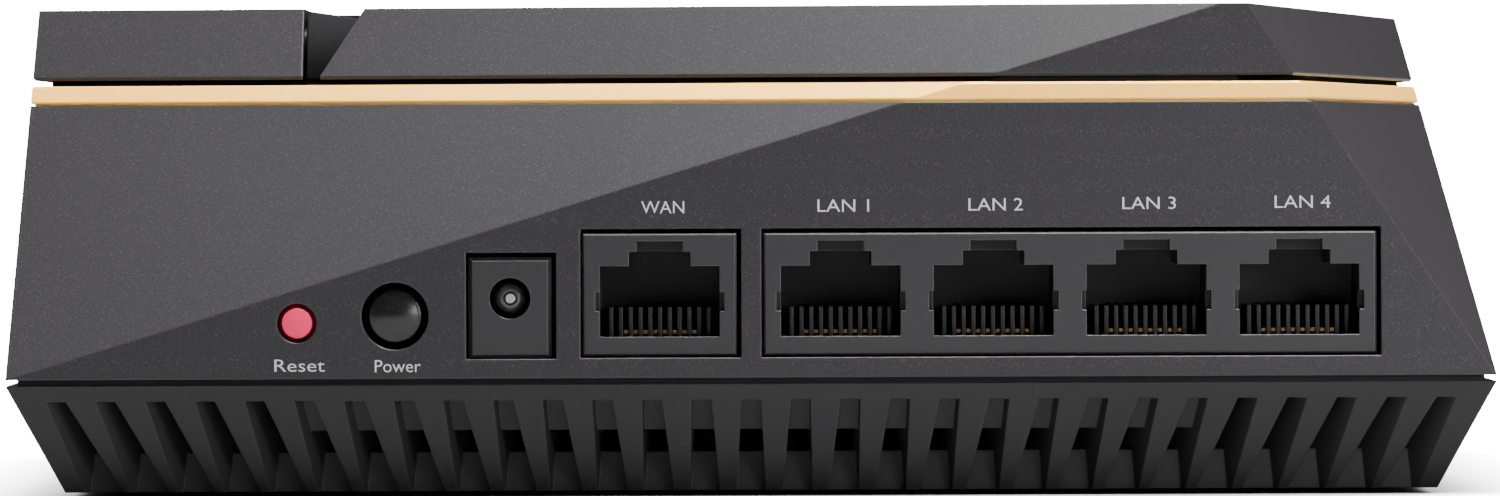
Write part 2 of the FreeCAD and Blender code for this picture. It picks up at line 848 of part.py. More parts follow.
def heat_spreader():
    plate = box(-40.0, 40.0, -30.0, 40.0, board_low - 3.5, board_low - 1.5)
    pads = [column(x, y, board_low - 1.5, board_low, 3.0) for x in (-34.0, 34.0) for y in (-24.0, 34.0)]
    return fused(plate, pads)


# Fasteners

def case_screws():
    screws = []
    for x, y in column_places():
        head = column(x, y, base_low + 0.2, base_low + 1.8, screw_head)
        screws.append(fused(column(x, y, base_low + 1.8, board_top + 10.0, screw_radius - 0.3), [head]))
    return Part.makeCompound(screws)


def cover_screws():
    screws = []
    for x, y in cover_screw_places():
        plate_low = band_top - 1.6
        head = column(x, y, plate_low - 1.4, plate_low, 2.3)
        screws.append(fused(column(x, y, plate_low, band_top + 4.0, screw_radius - 0.3), [head]))
    return Part.makeCompound(screws)


def build():
    os.makedirs("parts", exist_ok=True)
    save("vented_base", vented_base())
    save("rubber_feet", rubber_feet())
    save("upper_casing", upper_casing())
    save("gold_band", gold_band())
    save("antenna_deck", antenna_deck())
    save("top_cover", top_cover())
    slanted = antenna_outline(tip_gap_low, tip_gap_top)
    square = antenna_outline(running_gap, running_gap)
    pieces = {
        "hinge_post": hinge_post(),
        "antenna_base": antenna_base(),
        "antenna_radiator": antenna_radiator(),
        "antenna_axle": antenna_axle(),
        "antenna_lead": antenna_lead(),
    }
    for quarter, side in enumerate(sides):
        outline = square if quarter % 2 else slanted
        save("antenna_cover_" + side, turned(antenna_cover(outline), quarter))
        for name, shape in pieces.items():
            save(name + "_" + side, turned(shape, quarter))
    save("lead_connectors", Part.makeCompound(around(lead_connector())))
    save("main_board", main_board())
    save("wan_jack_housing", jack_housing(wan_left, wan_width, wan_ports()))
    save("wan_jack_contacts", jack_contacts(wan_ports()))
    save("lan_jack_housing", jack_housing(lan_left, lan_width, lan_port_places()))
    save("lan_jack_contacts", jack_contacts(lan_port_places()))
    save("dc_jack_housing", dc_housing())
    save("dc_centre_pin", dc_centre_pin())
    save("dc_spring", dc_spring())
    save_buttons()
    save_board_parts()
    save("case_screws", case_screws())
    save("cover_screws", cover_screws())


def save_buttons():
    stem_end = -half_width + 12.0
    save("power_button", button(power_x, power_level, power_cap, stem_end, 0.5))
    save("power_switch", switch_body(power_x, power_level, stem_end, power_travel, 4.0, 12.0))
    save("reset_button", button(reset_x, reset_level, reset_cap, stem_end, 0.12))
    save("reset_switch", switch_body(reset_x, reset_level, stem_end, reset_travel, 3.0, 7.5))


def save_board_parts():
    save("heat_sink", heat_sink())
    save("sink_screws", sink_screws())
    save("processor", processor())
    save("memory_chips", memory_chips())
    save("network_switch_chip", network_switch_chip())
    save("shield_cans", shield_cans())
    save("radio_chips", radio_chips())
    save("thermal_pads", thermal_pads())
    save("magnetics", magnetics())
    save("capacitors", capacitors())
    save("inductors", inductors())
    save("status_lights", status_lights())
    save("light_guide", light_guide())
    save("heat_spreader", heat_spreader())


build()
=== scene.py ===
import json
import math

import bpy
import numpy as np
from mathutils import Matrix, Vector


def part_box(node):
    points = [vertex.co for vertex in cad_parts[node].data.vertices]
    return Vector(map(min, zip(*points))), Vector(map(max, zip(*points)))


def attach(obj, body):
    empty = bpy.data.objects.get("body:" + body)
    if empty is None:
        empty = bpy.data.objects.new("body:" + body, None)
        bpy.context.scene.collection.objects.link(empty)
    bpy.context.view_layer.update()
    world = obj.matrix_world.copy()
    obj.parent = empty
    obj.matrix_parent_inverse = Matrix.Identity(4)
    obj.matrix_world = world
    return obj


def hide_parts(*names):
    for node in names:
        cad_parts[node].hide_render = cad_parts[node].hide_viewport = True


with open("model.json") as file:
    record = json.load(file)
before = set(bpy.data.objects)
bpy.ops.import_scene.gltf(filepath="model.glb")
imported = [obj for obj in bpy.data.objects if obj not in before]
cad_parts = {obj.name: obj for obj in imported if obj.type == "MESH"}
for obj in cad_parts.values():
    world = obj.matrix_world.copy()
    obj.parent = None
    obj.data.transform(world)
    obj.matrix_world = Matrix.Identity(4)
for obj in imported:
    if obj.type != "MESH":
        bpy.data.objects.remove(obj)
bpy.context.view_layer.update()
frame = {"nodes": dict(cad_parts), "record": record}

mm = 0.001
nodes = frame["nodes"]
record = frame["record"]


# camera, in line with the socket side and a little above it

cameraSet = {
    "distance": 1021.9,   # mm from the waist of the socket side
    "across": -2.63,      # mm
    "height": 35.36,      # mm above the floor
    "turn": -0.0025,      # radians to the left
    "tilt": 0.0092,       # radians down
    "roll": -0.0038,
    "focal": 236.1,       # mm, on a 36 mm sensor
}


def makeCamera(values):
    data = bpy.data.cameras.new("viewCamera")
    data.sensor_width = 36.0
    data.lens = values["focal"]
    data.clip_start = 0.05
    data.clip_end = 20.0
    camera = bpy.data.objects.new("viewCamera", data)
    bpy.context.scene.collection.objects.link(camera)
    away = -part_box("upper_casing")[0].y + values["distance"] * mm
    turn = Matrix.Rotation(values["turn"], 4, "Z") @ Matrix.Rotation(math.pi / 2 - values["tilt"], 4, "X")
    turn = turn @ Matrix.Rotation(values["roll"], 4, "Z")
    place = Vector((values["across"] * mm, -away, values["height"] * mm))
    camera.matrix_world = Matrix.Translation(place) @ turn
    bpy.context.scene.camera = camera


makeCamera(cameraSet)
print("camera made")


# small helpers for shader trees

def link(tree, source, target):
    tree.links.new(source, target)


def addNode(tree, kind, at, **settings):
    node = tree.nodes.new(kind)
    node.location = at
    for name, value in settings.items():
        setattr(node, name, value)
    return node


def mathNode(tree, operation, first, second, at, clamp=False):
    node = addNode(tree, "ShaderNodeMath", at, operation=operation, use_clamp=clamp)
    for socket, value in zip(node.inputs, (first, second)):
        if isinstance(value, bpy.types.NodeSocket):
            link(tree, value, socket)
        elif value is not None:
            socket.default_value = value
    return node.outputs[0]


def newGroup(name, inputs, outputs):
    group = bpy.data.node_groups.new(name, "ShaderNodeTree")
    for label, kind, value in inputs:
        socket = group.interface.new_socket(name=label, in_out="INPUT", socket_type=kind)
        if value is not None:
            socket.default_value = value
    for label, kind in outputs:
        group.interface.new_socket(name=label, in_out="OUTPUT", socket_type=kind)
    entry = addNode(group, "NodeGroupInput", (-900, 0))
    leave = addNode(group, "NodeGroupOutput", (700, 0))
    return group, entry, leave


def makeGrainGroup():
    # grain: fine noise for height, rare bright flecks, and a slow drift over the whole surface
    group, entry, leave = newGroup(
        "mouldedGrain",
        [("Place", "NodeSocketVector", None), ("Fineness", "NodeSocketFloat", 4000.0),
         ("Fleck Cut", "NodeSocketFloat", 0.7)],
        [("Height", "NodeSocketFloat"), ("Fleck", "NodeSocketFloat"), ("Drift", "NodeSocketFloat")])
    fine = addNode(group, "ShaderNodeTexNoise", (-600, 200))
    fine.inputs["Detail"].default_value = 2.0
    fine.inputs["Roughness"].default_value = 0.6
    link(group, entry.outputs["Place"], fine.inputs["Vector"])
    link(group, entry.outputs["Fineness"], fine.inputs["Scale"])
    link(group, fine.outputs["Fac"], leave.inputs["Height"])
    fleckSize = mathNode(group, "MULTIPLY", entry.outputs["Fineness"], 1.9, (-600, -60))
    fleck = addNode(group, "ShaderNodeTexNoise", (-400, -60))
    fleck.inputs["Detail"].default_value = 0.0
    link(group, entry.outputs["Place"], fleck.inputs["Vector"])
    link(group, fleckSize, fleck.inputs["Scale"])
    over = mathNode(group, "SUBTRACT", fleck.outputs["Fac"], entry.outputs["Fleck Cut"], (-200, -60))
    sharp = mathNode(group, "MULTIPLY", over, 8.0, (0, -60), clamp=True)
    link(group, sharp, leave.inputs["Fleck"])
    slow = addNode(group, "ShaderNodeTexNoise", (-400, -320))
    slow.inputs["Scale"].default_value = 22.0
    slow.inputs["Detail"].default_value = 3.0
    link(group, entry.outputs["Place"], slow.inputs["Vector"])
    link(group, slow.outputs["Fac"], leave.inputs["Drift"])
    return group


def makeEdgeGroup():
    # edge: the normal rounded over a small radius, and a mask that is high where it turns
    group, entry, leave = newGroup(
        "softEdge",
        [("Radius", "NodeSocketFloat", 0.0002), ("Gain", "NodeSocketFloat", 6.0)],
        [("Normal", "NodeSocketVector"), ("Edge", "NodeSocketFloat")])
    rounded = addNode(group, "ShaderNodeBevel", (-500, 100), samples=6)
    link(group, entry.outputs["Radius"], rounded.inputs["Radius"])
    shape = addNode(group, "ShaderNodeNewGeometry", (-500, -120))
    along = addNode(group, "ShaderNodeVectorMath", (-250, 0), operation="DOT_PRODUCT")
    link(group, rounded.outputs["Normal"], along.inputs[0])
    link(group, shape.outputs["Normal"], along.inputs[1])
    turned = mathNode(group, "SUBTRACT", 1.0, along.outputs["Value"], (0, 0))
    mask = mathNode(group, "MULTIPLY", turned, entry.outputs["Gain"], (200, 0), clamp=True)
    link(group, rounded.outputs["Normal"], leave.inputs["Normal"])
    link(group, mask, leave.inputs["Edge"])
    return group


grainGroup = makeGrainGroup()
edgeGroup = makeEdgeGroup()


def newMaterial(name):
    material = bpy.data.materials.new(name)
    material.use_nodes = True
    tree = material.node_tree
    shader = tree.nodes["Principled BSDF"]
    shader.location = (500, 0)
    tree.nodes["Material Output"].location = (800, 0)
    place = addNode(tree, "ShaderNodeTexCoord", (-1100, 0))
    return material, tree, shader, place.outputs["Object"]


def mixColour(tree, share, low, high, at, blend="MIX"):
    node = addNode(tree, "ShaderNodeMix", at, data_type="RGBA", blend_type=blend)
    for socket, value in ((node.inputs["Factor"], share), (node.inputs["A"], low), (node.inputs["B"], high)):
        if isinstance(value, bpy.types.NodeSocket):
            link(tree, value, socket)
        else:
            socket.default_value = value
    return node.outputs["Result"]


def rangeNode(tree, value, low, high, at):
    node = addNode(tree, "ShaderNodeMapRange", at)
    link(tree, value, node.inputs["Value"])
    node.inputs["To Min"].default_value = low
    node.inputs["To Max"].default_value = high
    return node.outputs["Result"]


def placeGroup(tree, group, at, **values):
    node = addNode(tree, "ShaderNodeGroup", at, node_tree=group)
    for name, value in values.items():
        socket = node.inputs[name.replace("_", " ")]
        if isinstance(value, bpy.types.NodeSocket):
            link(tree, value, socket)
        else:
            socket.default_value = value
    return node


def shade(colour, share):
    return tuple(min(1.0, part * share) for part in colour[:3]) + (1.0,)


def makePaintedShadeGroup():
    # painted shade: a share that goes from 0 at Start to 1 at End along one axis of the object, used to darken a
    # colour towards one end
    group, entry, leave = newGroup(
        "depthShare",
        [("Place", "NodeSocketVector", None), ("Axis", "NodeSocketVector", None),
         ("Start", "NodeSocketFloat", 0.0), ("End", "NodeSocketFloat", 1.0)],
        [("Share", "NodeSocketFloat")])
    along = addNode(group, "ShaderNodeVectorMath", (-500, 0), operation="DOT_PRODUCT")
    link(group, entry.outputs["Place"], along.inputs[0])
    link(group, entry.outputs["Axis"], along.inputs[1])
    ramp = addNode(group, "ShaderNodeMapRange", (-200, 0), interpolation_type="SMOOTHSTEP")
    link(group, along.outputs["Value"], ramp.inputs["Value"])
    link(group, entry.outputs["Start"], ramp.inputs["From Min"])
    link(group, entry.outputs["End"], ramp.inputs["From Max"])
    link(group, ramp.outputs["Result"], leave.inputs["Share"])
    return group


paintedShadeGroup = makePaintedShadeGroup()


def roughBump(tree, shader, height, normal, strength, distance):
    bump = addNode(tree, "ShaderNodeBump", (250, -250))
    bump.inputs["Strength"].default_value = strength
    bump.inputs["Distance"].default_value = distance
    link(tree, height, bump.inputs["Height"])
    link(tree, normal, bump.inputs["Normal"])
    link(tree, bump.outputs["Normal"], shader.inputs["Normal"])


# shares of the base colour, spreads of the roughness, and bump depths in metres
# the worn share sets the lighter edge colour, standing for wear and a painted edge highlight
plasticShares = {"darkest": 0.86, "lightest": 1.14, "wornAndHighlit": 2.6, "spread": 0.06, "polish": 0.12, "bumpDepth": 0.00004}
metalShares = {"darkest": 0.82, "lightest": 1.1, "drift": 0.9, "edgeShare": 0.6, "edge": 1.35, "spread": 0.07,
               "fleckCut": 0.75, "edgeGain": 5.0, "bumpDepth": 0.00003}


def mouldedPlastic(name, values):
    # plastic: a base colour that drifts, a fine moulded grain, bright flecks, and polished edges lightened by wear
    # and a painted highlight
    material, tree, shader, place = newMaterial(name)
    shares = plasticShares
    grain = placeGroup(tree, grainGroup, (-800, 100), Place=place, Fineness=values["fineness"],
                       Fleck_Cut=values["fleckCut"])
    edge = placeGroup(tree, edgeGroup, (-800, -200), Radius=values["edgeRadius"] * mm, Gain=values["edgeGain"])
    colour = values["colour"]
    dark, light = shade(colour, shares["darkest"]), shade(colour, shares["lightest"])
    body = mixColour(tree, grain.outputs["Drift"], dark, light, (-500, 200))
    specked = mixColour(tree, grain.outputs["Fleck"], body, shade(colour, values["fleckGain"]), (-250, 200))
    # edge wear and painted highlight: the edges are mixed towards a much lighter copy of the colour
    wearAndHighlight = mathNode(tree, "MULTIPLY", edge.outputs["Edge"], values["wearAndHighlight"], (-500, -20))
    wornAndHighlit = mixColour(tree, wearAndHighlight, specked, shade(colour, shares["wornAndHighlit"]), (0, 200))
    # painted shade: the colour and the specular level are darkened along the depth axis, down to the share that is
    # left
    if "depth" in values:
        axis, start, end, left = values["depth"]
        depth = placeGroup(tree, paintedShadeGroup, (-250, 500), Place=place, Axis=axis, Start=start, End=end)
        paintedShadeLeft = rangeNode(tree, depth.outputs["Share"], 1.0, left, (0, 500))
        wornAndHighlit = mixColour(tree, 1.0, wornAndHighlit, paintedShadeLeft, (250, 300), "MULTIPLY")
        shadedSpecular = mathNode(tree, "MULTIPLY", paintedShadeLeft, values["specular"], (250, 500))
        link(tree, shadedSpecular, shader.inputs["Specular IOR Level"])
    link(tree, wornAndHighlit, shader.inputs["Base Color"])
    low, high = values["roughness"] - shares["spread"], values["roughness"] + shares["spread"]
    rough = rangeNode(tree, grain.outputs["Height"], low, high, (-250, -40))
    polished = mathNode(tree, "MULTIPLY", edge.outputs["Edge"], shares["polish"], (-250, -260))
    link(tree, mathNode(tree, "SUBTRACT", rough, polished, (50, -60)), shader.inputs["Roughness"])
    roughBump(tree, shader, grain.outputs["Height"], edge.outputs["Normal"], values["bump"], shares["bumpDepth"])
    shader.inputs["Specular IOR Level"].default_value = values["specular"]
    shader.inputs["Coat Weight"].default_value = values.get("coat", 0.0)
    shader.inputs["Coat Roughness"].default_value = values.get("coatRoughness", 0.1)
    return material


def metalSurface(name, values):
    # metal: fine streaks along one axis, a slow drift and brighter edges
    material, tree, shader, place = newMaterial(name)
    shares = metalShares
    stretch = addNode(tree, "ShaderNodeMapping", (-900, 300))
    stretch.inputs["Scale"].default_value = values["stretch"]
    link(tree, place, stretch.inputs["Vector"])
    streak = placeGroup(tree, grainGroup, (-700, 200), Place=stretch.outputs["Vector"], Fineness=values["fineness"],
                        Fleck_Cut=shares["fleckCut"])
    edge = placeGroup(tree, edgeGroup, (-700, -200), Radius=values["edgeRadius"] * mm, Gain=shares["edgeGain"])
    colour = values["colour"]
    dark, light = shade(colour, shares["darkest"]), shade(colour, shares["lightest"])
    body = mixColour(tree, streak.outputs["Height"], dark, light, (-400, 200))
    drifted = mixColour(tree, streak.outputs["Drift"], body, shade(colour, shares["drift"]), (-200, 200))
    rubbed = mathNode(tree, "MULTIPLY", edge.outputs["Edge"], shares["edgeShare"], (-300, 0))
    bright = mixColour(tree, rubbed, drifted, shade(colour, shares["edge"]), (0, 200))
    link(tree, bright, shader.inputs["Base Color"])
    shader.inputs["Metallic"].default_value = values["metallic"]
    low, high = values["roughness"] - shares["spread"], values["roughness"] + shares["spread"]
    rough = rangeNode(tree, streak.outputs["Height"], low, high, (-250, -40))
    link(tree, rough, shader.inputs["Roughness"])
    roughBump(tree, shader, streak.outputs["Height"], edge.outputs["Normal"], values["bump"], shares["bumpDepth"])
    return material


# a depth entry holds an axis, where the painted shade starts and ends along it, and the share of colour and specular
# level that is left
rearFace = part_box("lan_jack_housing")[0].y
postLow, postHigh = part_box("hinge_post_left")
plasticValues = {
    "casing_black": {"colour": (0.0112, 0.0104, 0.0113), "roughness": 0.46, "specular": 0.19, "fineness": 3600.0,
                     "fleckCut": 0.62, "fleckGain": 2.4, "edgeRadius": 0.28, "edgeGain": 9.0,
                     "wearAndHighlight": 0.6, "bump": 0.25},
    "antenna_black": {"colour": (0.0112, 0.0104, 0.0113), "roughness": 0.46, "specular": 0.17, "fineness": 3600.0,
                      "fleckCut": 0.62, "fleckGain": 2.4, "edgeRadius": 0.25, "edgeGain": 9.0,
                      "wearAndHighlight": 0.7, "bump": 0.25},
    "cover_black": {"colour": (0.0080, 0.0074, 0.0081), "roughness": 0.52, "specular": 0.16, "fineness": 3600.0,
                    "fleckCut": 0.64, "fleckGain": 2.2, "edgeRadius": 0.35, "edgeGain": 9.0,
                    "wearAndHighlight": 0.5, "bump": 0.25},
    # hinge posts: painted shade, a darker copy of the black plastic that darkens further towards the bottom
    "post_black_shaded": {"colour": (0.0070, 0.0065, 0.0071), "roughness": 0.38, "specular": 0.14, "fineness": 3600.0,
                   "fleckCut": 0.70, "fleckGain": 1.8, "edgeRadius": 0.40, "edgeGain": 8.0, "wearAndHighlight": 0.4, "bump": 0.15,
                   "depth": ((0.0, 0.0, -1.0), -postHigh.z, -postLow.z, 0.20)},
    "base_black": {"colour": (0.0100, 0.0093, 0.0101), "roughness": 0.52, "specular": 0.14, "fineness": 3000.0,
                   "fleckCut": 0.72, "fleckGain": 1.8, "edgeRadius": 0.25, "edgeGain": 8.0, "wearAndHighlight": 0.5, "bump": 0.3},
    "inner_black": {"colour": (0.0050, 0.0048, 0.0051), "roughness": 0.60, "specular": 0.15, "fineness": 2600.0,
                    "fleckCut": 0.80, "fleckGain": 1.4, "edgeRadius": 0.20, "edgeGain": 6.0,
                    "wearAndHighlight": 0.1, "bump": 0.3},
    # jack housings: painted shade, the colour and specular level darker deeper into each jack
    "jack_black": {"colour": (0.0140, 0.0131, 0.0141), "roughness": 0.36, "specular": 0.24, "fineness": 2600.0,
                   "fleckCut": 0.75, "fleckGain": 1.8, "edgeRadius": 0.16, "edgeGain": 10.0,
                   "wearAndHighlight": 0.9, "bump": 0.15,
                   "depth": ((0.0, 1.0, 0.0), rearFace + 0.0004, rearFace + 0.0050, 0.60)},
    "button_black": {"colour": (0.0050, 0.0048, 0.0051), "roughness": 0.26, "specular": 0.22, "fineness": 1500.0,
                     "fleckCut": 0.80, "fleckGain": 1.3, "edgeRadius": 0.15, "edgeGain": 4.0,
                     "wearAndHighlight": 0.1, "bump": 0.05,
                     "coat": 0.08, "coatRoughness": 0.2},
    "inlet_black": {"colour": (0.034, 0.032, 0.034), "roughness": 0.30, "specular": 0.60, "fineness": 1500.0,
                    "fleckCut": 0.80, "fleckGain": 1.3, "edgeRadius": 0.15, "edgeGain": 4.0,
                    "wearAndHighlight": 0.2, "bump": 0.05},
    "button_pink": {"colour": (0.48, 0.011, 0.058), "roughness": 0.45, "specular": 0.25, "fineness": 2600.0,
                    "fleckCut": 0.72, "fleckGain": 1.10, "edgeRadius": 0.2, "edgeGain": 3.0,
                    "wearAndHighlight": 0.05, "bump": 0.15},
    "switch_black": {"colour": (0.014, 0.014, 0.014), "roughness": 0.5, "specular": 0.25, "fineness": 2000.0,
                     "fleckCut": 0.75, "fleckGain": 1.5, "edgeRadius": 0.15, "edgeGain": 6.0,
                     "wearAndHighlight": 0.2, "bump": 0.2},
    "board_green": {"colour": (0.012, 0.055, 0.028), "roughness": 0.35, "specular": 0.3, "fineness": 900.0,
                    "fleckCut": 0.62, "fleckGain": 2.4, "edgeRadius": 0.1, "edgeGain": 5.0, "wearAndHighlight": 0.3, "bump": 0.2},
    "chip_black": {"colour": (0.013, 0.013, 0.0135), "roughness": 0.55, "specular": 0.2, "fineness": 2800.0,
                   "fleckCut": 0.7, "fleckGain": 1.8, "edgeRadius": 0.1, "edgeGain": 5.0, "wearAndHighlight": 0.2, "bump": 0.3},
    "foot_rubber": {"colour": (0.010, 0.010, 0.010), "roughness": 0.8, "specular": 0.15, "fineness": 1800.0,
                    "fleckCut": 0.7, "fleckGain": 1.7, "edgeRadius": 0.3, "edgeGain": 4.0, "wearAndHighlight": 0.15, "bump": 0.5},
    "pad_grey": {"colour": (0.24, 0.26, 0.29), "roughness": 0.75, "specular": 0.2, "fineness": 1400.0,
                 "fleckCut": 0.68, "fleckGain": 1.2, "edgeRadius": 0.2, "edgeGain": 3.0, "wearAndHighlight": 0.1, "bump": 0.4},
    "ferrite": {"colour": (0.045, 0.045, 0.050), "roughness": 0.6, "specular": 0.25, "fineness": 1600.0,
                "fleckCut": 0.66, "fleckGain": 1.6, "edgeRadius": 0.2, "edgeGain": 5.0, "wearAndHighlight": 0.3, "bump": 0.5},
    "lens_clear": {"colour": (0.40, 0.41, 0.43), "roughness": 0.3, "specular": 0.4, "fineness": 900.0,
                   "fleckCut": 0.8, "fleckGain": 1.1, "edgeRadius": 0.1, "edgeGain": 3.0, "wearAndHighlight": 0.1, "bump": 0.05},
    "led_white": {"colour": (0.60, 0.59, 0.54), "roughness": 0.4, "specular": 0.4, "fineness": 1800.0,
                  "fleckCut": 0.8, "fleckGain": 1.1, "edgeRadius": 0.1, "edgeGain": 3.0, "wearAndHighlight": 0.1, "bump": 0.1},
    "lead_grey": {"colour": (0.18, 0.18, 0.185), "roughness": 0.5, "specular": 0.3, "fineness": 1500.0,
                  "fleckCut": 0.75, "fleckGain": 1.2, "edgeRadius": 0.1, "edgeGain": 3.0, "wearAndHighlight": 0.1, "bump": 0.2},
    "label_ink": {"colour": (0.30, 0.30, 0.305), "roughness": 0.6, "specular": 0.2, "fineness": 5200.0,
                  "fleckCut": 0.62, "fleckGain": 0.75, "edgeRadius": 0.01, "edgeGain": 1.0, "wearAndHighlight": 0.0, "bump": 0.1},
}

metalValues = {
    "axle_black": {"colour": (0.03, 0.03, 0.031), "roughness": 0.5, "metallic": 0.6, "fineness": 2200.0,
                   "stretch": (1.0, 0.3, 1.0), "edgeRadius": 0.1, "bump": 0.15},
    "band_gold": {"colour": (1.0, 0.49, 0.075), "roughness": 0.42, "metallic": 0.30, "fineness": 2600.0,
                  "stretch": (0.25, 0.25, 1.0), "edgeRadius": 0.2, "bump": 0.12},
    "contact_gold": {"colour": (0.16, 0.085, 0.035), "roughness": 0.35, "metallic": 1.0, "fineness": 2200.0,
                     "stretch": (1.0, 0.2, 1.0), "edgeRadius": 0.06, "bump": 0.15},
    "steel": {"colour": (0.36, 0.36, 0.37), "roughness": 0.32, "metallic": 1.0, "fineness": 2200.0,
              "stretch": (1.0, 0.3, 1.0), "edgeRadius": 0.1, "bump": 0.15},
    "shield_steel": {"colour": (0.50, 0.50, 0.49), "roughness": 0.4, "metallic": 1.0, "fineness": 1400.0,
                     "stretch": (0.15, 1.0, 1.0), "edgeRadius": 0.1, "bump": 0.2},
    "sink_aluminium": {"colour": (0.55, 0.55, 0.56), "roughness": 0.45, "metallic": 1.0, "fineness": 1200.0,
                       "stretch": (1.0, 0.1, 1.0), "edgeRadius": 0.2, "bump": 0.3},
    "can_aluminium": {"colour": (0.48, 0.48, 0.50), "roughness": 0.35, "metallic": 1.0, "fineness": 1500.0,
                      "stretch": (1.0, 1.0, 0.2), "edgeRadius": 0.2, "bump": 0.2},
}

materials = {name: mouldedPlastic(name, values) for name, values in plasticValues.items()}
materials.update({name: metalSurface(name, values) for name, values in metalValues.items()})
for part in record["subparts"]:
    mesh = nodes[part["node"]].data
    mesh.materials.clear()
    # the hinge posts take the darker copy of the black plastic with its painted shade
    finish = "post_black_shaded" if part["node"].startswith("hinge_post") else part["material_slot"]
    mesh.materials.append(materials[finish])
print("materials made:", len(materials))


# new pieces

def meshPiece(name, points, faces, material, body):
    mesh = bpy.data.meshes.new(name)
    mesh.from_pydata(points.tolist(), [], faces)
    mesh.materials.append(materials[material])
    piece = bpy.data.objects.new(name, mesh)
    bpy.context.scene.collection.objects.link(piece)
    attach(piece, body)
    return piece


def smooth(piece):
    piece.data.polygons.foreach_set("use_smooth", np.ones(len(piece.data.polygons), dtype=bool))


def sweptPoints(profile, centre, rim):
    # every profile point (radius, depth) goes round the Y axis in rim steps
    angles = np.linspace(0.0, 2.0 * np.pi, rim, endpoint=False)
    x = centre[0] + np.outer(profile[:, 0], np.cos(angles))
    y = centre[1] + np.repeat(profile[:, 1][:, None], rim, axis=1)
    z = centre[2] + np.outer(profile[:, 0], np.sin(angles))
    return np.stack([x, y, z], axis=-1).reshape(-1, 3)


def sweptQuads(rows, following, rim):
    # four-sided faces between each row of points and the row that follows it
    step = np.arange(rim)[None, :]
    after = (step + 1) % rim
    quads = np.stack([rows + step, following + step, following + after, rows + after], axis=-1)
    return quads.reshape(-1, 4).tolist()


def turnedPiece(name, profile, centre, rim, material, body):
    # an open profile swept round, and closed at both ends by a fan of triangles to a pole
    grid = sweptPoints(profile, centre, rim)
    poles = np.array([[centre[0], centre[1] + depth, centre[2]] for depth in (profile[0, 1], profile[-1, 1])])
    rows = np.arange(len(profile) - 1)[:, None] * rim
    first, last = len(grid), len(grid) + 1
    final = (len(profile) - 1) * rim
    fans = [[first, i, (i + 1) % rim] for i in range(rim)]
    fans += [[last, final + (i + 1) % rim, final + i] for i in range(rim)]
    faces = sweptQuads(rows, rows + rim, rim) + fans
    piece = meshPiece(name, np.concatenate([grid, poles]), faces, material, body)
    smooth(piece)
    return piece


def domedCap(node, values):
    # a domed front (half a cosine wave deep), a rolled rim, a straight side, a flange and a stem
    low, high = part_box(node)
    centre = ((low.x + high.x) / 2, low.y, (low.z + high.z) / 2)
    radius = values["radius"] * mm
    share = np.linspace(0.04, 1.0, values["domeSteps"])
    flat = radius * values["flatShare"]
    roll = radius - flat
    dome = np.stack([flat * share, values["dome"] * mm * (1.0 - np.cos(share * np.pi / 2))], axis=-1)
    turn = np.linspace(0.2, 1.0, 8) * np.pi / 2
    rimPart = np.stack([flat + roll * np.sin(turn), dome[-1, 1] + roll * (1.0 - np.cos(turn))], axis=-1)
    length = high.y - low.y
    flange = (high.x - low.x) / 2
    neck, stem = values["neck"] * mm, values["stem"] * mm
    back = neck + values["flange"] * mm
    backs = np.array([[radius, neck], [flange, neck], [flange, back], [stem, back], [stem, length]])
    return np.concatenate([dome, rimPart, backs]), centre


capSet = {
    "power_button": {"piece": "power_cap", "radius": 2.8, "dome": 0.55, "domeSteps": 14, "flatShare": 0.9,
                     "neck": 2.25, "flange": 1.0, "stem": 1.0, "rim": 72, "material": "button_black"},
    "reset_button": {"piece": "reset_cap", "radius": 1.6, "dome": 0.10, "domeSteps": 8, "flatShare": 0.9,
                     "neck": 2.25, "flange": 1.0, "stem": 1.0, "rim": 72, "material": "button_pink"},
}

for node, values in capSet.items():
    profile, centre = domedCap(node, values)
    finish = values["material"]
    cap = turnedPiece(values["piece"], profile, centre, values["rim"], finish, node)
    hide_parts(node)
print("caps made")


inletSet = {"inner": 0.70, "outer": 1.62, "front": 1.5, "dome": 0.9, "depth": 9.4, "steps": 12, "rim": 64}


def inletCore(values):
    # a collar round the centre pin: a quarter-ellipse front from the inner to the outer radius, then straight
    low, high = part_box("dc_centre_pin")
    centre = ((low.x + high.x) / 2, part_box("dc_jack_housing")[0].y, (low.z + high.z) / 2)
    turn = np.linspace(0.0, np.pi / 2, values["steps"])
    radius = values["inner"] + (values["outer"] - values["inner"]) * np.sin(turn)
    depth = values["front"] + values["dome"] * (1.0 - np.cos(turn))
    front = np.stack([radius, depth], axis=-1)
    back = np.array([[values["outer"], values["depth"]], [values["inner"], values["depth"]]])
    return np.concatenate([front, back]) * mm, centre


def ringPiece(name, loop, centre, rim, material, body):
    # a closed loop swept round, with no poles
    rows = np.arange(len(loop))[:, None]
    following = ((rows + 1) % len(loop)) * rim
    faces = sweptQuads(rows * rim, following, rim)
    piece = meshPiece(name, sweptPoints(loop, centre, rim), faces, material, body)
    smooth(piece)


loop, centre = inletCore(inletSet)
ringPiece("inlet_core", loop, centre, inletSet["rim"], "inlet_black", "root")
print("inlet core made")


# printed labels, in a plain face, a hair proud of the socket side

labelSet = {"lift": 0.012, "thick": 0.02, "lean": 0.0494, "capHeight": 1.28, "thinning": -0.004, "curveSteps": 3}
labelPlaces = [
    # text, left, right and middle height in mm, the height above the underside of the base
    ("Reset", -49.53, -44.30, 13.31),
    ("Power", -39.10, -34.34, 13.22),
    ("WAN", -11.37, -6.90, 29.62),
    ("LAN 1", 6.96, 12.32, 29.73),
    ("LAN 2", 22.66, 28.31, 29.80),
    ("LAN 3", 38.66, 44.22, 29.88),
    ("LAN 4", 54.50, 60.30, 29.96),
]


